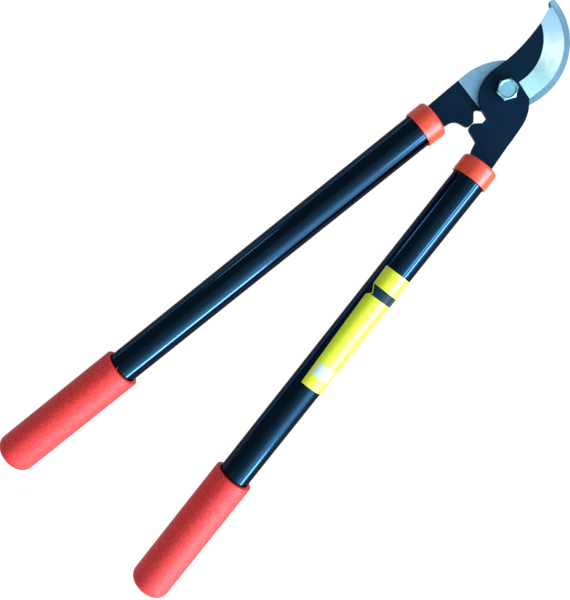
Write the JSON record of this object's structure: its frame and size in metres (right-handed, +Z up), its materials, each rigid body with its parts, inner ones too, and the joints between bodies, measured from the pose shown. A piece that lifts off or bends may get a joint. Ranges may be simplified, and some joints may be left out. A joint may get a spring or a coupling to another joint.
{
  "type": "bypass lopper",
  "caption": "Bypass lopper lying shut: curved ground blade over a hooked counter-blade, hexagon pivot bolt, straight tube handles with collars and closed foam grips.",
  "frame": {"origin": "on the ground, under the middle of the tool's length and width, lying flat with the jaws shut", "axes": "+Z up along the pivot bolt with its head up, +Y from the handles to the jaws, +X to the right seen from above, where the blade arm's handle is"},
  "size_m": [0.167, 0.495, 0.0305],
  "materials": {
    "plate_paint": "satin, ground bright along the cutting edge",
    "tube_paint": "gloss",
    "bright_zinc": "bright zinc plate",
    "nylon": "matt",
    "collar_plastic": "gloss",
    "black_plastic": "matt",
    "grip_foam": "fine-grained foam, matt",
    "label_film": "gloss film"
  },
  "bodies": {
    "hook_arm": {"hook_plate": "plate_paint", "pivot_bolt": "bright_zinc", "pivot_washer": "bright_zinc", "pivot_nut": "bright_zinc", "nut_insert": "nylon", "hook_tube": "tube_paint", "hook_collar": "collar_plastic", "hook_sleeve": "black_plastic", "hook_pin": "bright_zinc", "hook_plug": "black_plastic", "hook_grip": "grip_foam"},
    "blade_arm": {"blade_plate": "plate_paint", "blade_tube": "tube_paint", "blade_collar": "collar_plastic", "blade_sleeve": "black_plastic", "blade_pin": "bright_zinc", "blade_plug": "black_plastic", "blade_grip": "grip_foam", "label": "label_film"}
  },
  "joints": [
    {"name": "jaw_pivot", "type": "hinge", "parent": "hook_arm", "child": "blade_arm", "pos_m": [-0.00118, 0.18344, 0.01525], "axis": [0, 0, 1], "range_deg": [0, 60]}
  ]
}
